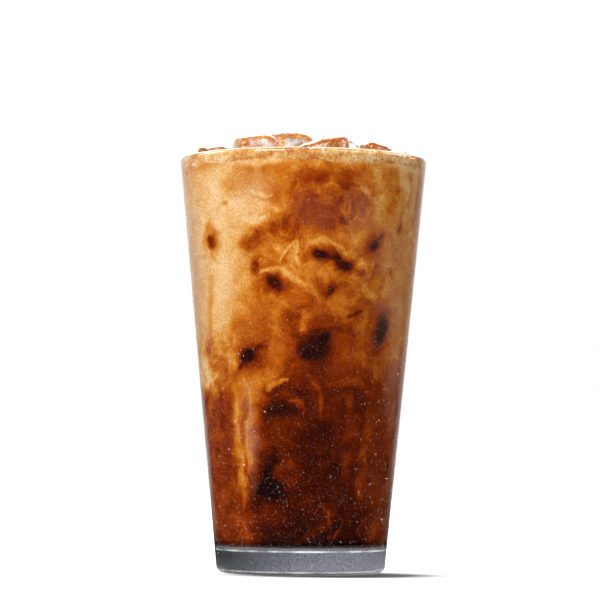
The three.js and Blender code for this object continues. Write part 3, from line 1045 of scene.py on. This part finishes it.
def floor_material():
    """White card that gives off some light of its own, so that it stays white, except in a painted shadow
    at the foot of the glass, where it is painted nearly black and gives off no light, over the real shadow
    that the lamps cast there. To what the glass reflects, the card glows bright behind the glass and round
    its foot and stays dark in front, which keeps glare off the glass."""
    finish = Finish(bpy.data.materials.new("white_card"))
    place = finish.place()
    axes = finish.axes(place)
    squares = []
    for axis, centre, half in zip((axes["X"], axes["Y"]), painted_shadow_centre, painted_shadow_half):
        share = finish.maths("MULTIPLY_ADD", axis, 1 / half, -centre / half)
        squares.append(finish.maths("MULTIPLY", share, share))
    from_painted_shadow = finish.maths("SQRT", finish.maths("ADD", *squares))
    # Painted shadow: inside this oval the card is painted nearly black and its glow fades out.
    outside_painted_shadow = finish.span(from_painted_shadow, 0.6, 1.15, 0, 1)
    finish.give("Base Color", finish.mix(outside_painted_shadow, (0.01, 0.01, 0.01), (0.3, 0.3, 0.3)))
    finish.give("Roughness", 0.9)
    glow = finish.add("Emission", {"Strength": outside_painted_shadow})
    seen = finish.add("AddShader", {0: finish.shader.outputs["BSDF"], 1: glow.outputs["Emission"]})
    heading = finish.add("VectorMath", {0: place}, operation="NORMALIZE").outputs["Vector"]
    reach = finish.add("VectorMath", {0: place}, operation="LENGTH").outputs["Value"]
    behind = finish.span(finish.axes(heading)["Y"], 0.8, 0.98, 0.02, 0.6)
    behind = finish.maths("MULTIPLY", behind, finish.span(reach, 0.2, 0.9, 0.15, 1))
    near = finish.span(reach, 0.04, 0.075, 0.6, 0)
    felt = finish.add("Emission", {"Strength": finish.maths("MAXIMUM", behind, near)})
    finish.choose("Is Camera Ray", felt, seen)
    return finish.owner


corners = [(x, y, -0.05 * mm) for x, y in ((-floor_reach, -floor_reach), (floor_reach, -floor_reach),
                                           (floor_reach, floor_reach), (-floor_reach, floor_reach))]
floor = mesh_object("floor", corners, [(0, 1, 2, 3)], floor_material())


def light_the_studio():
    """White to the eye. The glass sees it bright above the table all round, and brightest behind."""
    studio = Finish(bpy.data.worlds.new("studio"))
    bpy.context.scene.world = studio.owner
    axes = studio.axes(studio.add("TexCoord").outputs["Generated"])
    behind = studio.span(axes["Y"], 0.8, 0.98, 0, 0.4)
    above = studio.span(axes["Z"], -0.02, 0.12, 0, 0.42)
    strength = studio.maths("ADD", behind, above)
    felt = studio.add("Background", {"Color": (1, 0.99, 0.985), "Strength": strength})
    seen = studio.nodes["Background"]
    studio.feed(seen, {"Color": (1, 1, 1)})
    studio.choose("Is Camera Ray", felt, seen)


def soft_lamp(name, azimuth, elevation, distance, size, power):
    """A square soft lamp that looks at the middle of the glass. Azimuth 0 is in front of it, and
    90 is on its right."""
    lamp = bpy.data.objects.new(name, bpy.data.lights.new(name, "AREA"))
    lamp.data.size = size
    lamp.data.energy = power
    turn, rise = math.radians(azimuth), math.radians(elevation)
    middle_of_glass = Vector((0, 0, glass_height / 2))
    away = Vector((math.sin(turn) * math.cos(rise), -math.cos(turn) * math.cos(rise), math.sin(rise)))
    lamp.location = middle_of_glass + away * distance
    lamp.rotation_euler = away.to_track_quat("Z", "Y").to_euler()
    bpy.context.scene.collection.objects.link(lamp)


light_the_studio()
soft_lamp("front_lamp", -32, 30, 1.5, 0.8, 34)
soft_lamp("fill_lamp", 44, 28, 1.6, 0.8, 15)
soft_lamp("left_lamp", -105, 32, 1.6, 0.8, 18)
soft_lamp("right_lamp", 110, 32, 1.6, 0.8, 13)
soft_lamp("back_lamp", 180, 36, 1.6, 0.9, 18)


# The camera stands a little above the table, a metre in front of the glass, and looks up slightly
# at its middle through a long lens.

camera_distance = 1015 * mm
camera_height = 44.5 * mm
aim_height = 98.2 * mm
camera_side = -0.9 * mm
camera_roll = math.radians(0.43)
camera = bpy.data.objects.new("camera", bpy.data.cameras.new("camera"))
camera.data.lens = 168.5
camera.data.sensor_width = 36
camera.location = (camera_side, -camera_distance, camera_height)
sight = Vector((0, camera_distance, aim_height - camera_height))
roll = Quaternion((0, 0, 1), camera_roll)
camera.rotation_euler = (sight.to_track_quat("-Z", "Y") @ roll).to_euler()
bpy.context.scene.collection.objects.link(camera)
bpy.context.scene.camera = camera
bpy.context.scene.view_settings.view_transform = "Standard"
bpy.context.scene.view_settings.look = "None"
bpy.context.scene.cycles.caustics_reflective = False
bpy.context.scene.cycles.caustics_refractive = False
